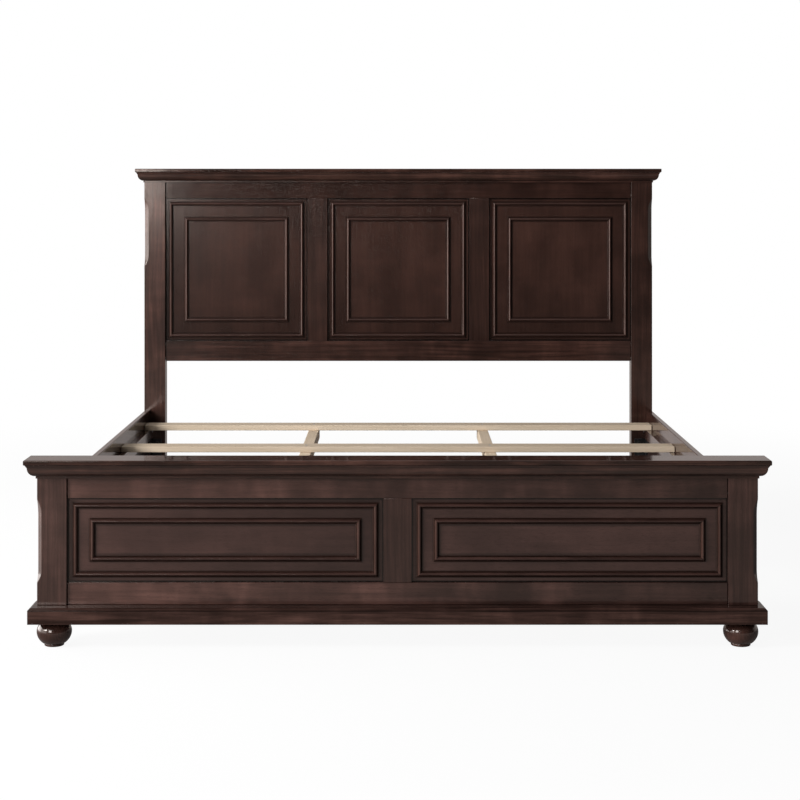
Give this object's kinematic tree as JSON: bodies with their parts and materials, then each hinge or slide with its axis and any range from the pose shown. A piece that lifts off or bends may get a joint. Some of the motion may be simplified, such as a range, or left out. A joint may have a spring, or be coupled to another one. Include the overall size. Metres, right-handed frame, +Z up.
{
  "type": "panel bed base",
  "caption": "King-size panel bed base in dark stained pine with a raised headboard, a lower footboard on a plinth, side rails, pale slats and beams on legs with levelling glides.",
  "frame": {"origin": "floor, under the middle of the whole base's box", "axes": "+X to the right seen from the foot end, +Y from the footboard to the headboard, +Z up"},
  "size_m": [2.086, 2.231, 1.367],
  "materials": {
    "stained_pine": "dark brown stain under semi-gloss lacquer",
    "stained_panel": "dark brown stain under semi-gloss lacquer",
    "stained_moulding": "dark brown stain under semi-gloss lacquer",
    "stained_turning": "dark brown stain under gloss lacquer",
    "pale_pine": "planed, unfinished",
    "steel": "zinc plated",
    "glide_plastic": "matte moulded"
  },
  "bodies": {
    "root": {"headboard_post_left": "stained_pine", "headboard_post_right": "stained_pine", "headboard_cap": "stained_pine", "headboard_crown": "stained_pine", "headboard_top_rail": "stained_pine", "headboard_bottom_rail": "stained_pine", "headboard_mullion_left": "stained_pine", "headboard_mullion_right": "stained_pine", "headboard_panel_left": "stained_panel", "headboard_panel_centre": "stained_panel", "headboard_panel_right": "stained_panel", "headboard_outer_moulding_left": "stained_moulding", "headboard_outer_moulding_centre": "stained_moulding", "headboard_outer_moulding_right": "stained_moulding", "headboard_inner_moulding_left": "stained_moulding", "headboard_inner_moulding_centre": "stained_moulding", "headboard_inner_moulding_right": "stained_moulding", "footboard_post_left": "stained_pine", "footboard_post_right": "stained_pine", "footboard_cap": "stained_pine", "footboard_crown": "stained_pine", "footboard_top_rail": "stained_pine", "footboard_bottom_rail": "stained_pine", "footboard_mullion": "stained_pine", "footboard_panel_left": "stained_panel", "footboard_panel_right": "stained_panel", "footboard_outer_moulding_left": "stained_moulding", "footboard_outer_moulding_right": "stained_moulding", "footboard_inner_moulding_left": "stained_moulding", "footboard_inner_moulding_right": "stained_moulding", "footboard_plinth": "stained_pine", "bun_foot_left": "stained_turning", "bun_foot_right": "stained_turning", "side_rail_front_left": "stained_pine", "side_rail_front_right": "stained_pine", "side_rail_rear_left": "stained_pine", "side_rail_rear_right": "stained_pine", "slat_ledger_left": "stained_pine", "slat_ledger_right": "stained_pine", "rail_bracket_front_left": "steel", "rail_bracket_front_right": "steel", "rail_bracket_rear_left": "steel", "rail_bracket_rear_right": "steel", "rail_splice_plate_left": "steel", "rail_splice_plate_right": "steel", "slat_1": "pale_pine", "slat_2": "pale_pine", "slat_3": "pale_pine", "slat_4": "pale_pine", "centre_beam_left": "pale_pine", "centre_beam_right": "pale_pine", "centre_leg_left_front": "pale_pine", "centre_leg_left_rear": "pale_pine", "centre_leg_right_front": "pale_pine", "centre_leg_right_rear": "pale_pine"},
    "glide_left_front": {"levelling_glide_left_front": "glide_plastic"},
    "glide_left_rear": {"levelling_glide_left_rear": "glide_plastic"},
    "glide_right_front": {"levelling_glide_right_front": "glide_plastic"},
    "glide_right_rear": {"levelling_glide_right_rear": "glide_plastic"}
  },
  "joints": [
    {"name": "glide_left_front_height", "type": "slide", "parent": "root", "child": "glide_left_front", "axis": [0, 0, 1], "range_m": [-0.008, 0.01]},
    {"name": "glide_left_rear_height", "type": "slide", "parent": "root", "child": "glide_left_rear", "axis": [0, 0, 1], "range_m": [-0.008, 0.01]},
    {"name": "glide_right_front_height", "type": "slide", "parent": "root", "child": "glide_right_front", "axis": [0, 0, 1], "range_m": [-0.008, 0.01]},
    {"name": "glide_right_rear_height", "type": "slide", "parent": "root", "child": "glide_right_rear", "axis": [0, 0, 1], "range_m": [-0.008, 0.01]}
  ]
}
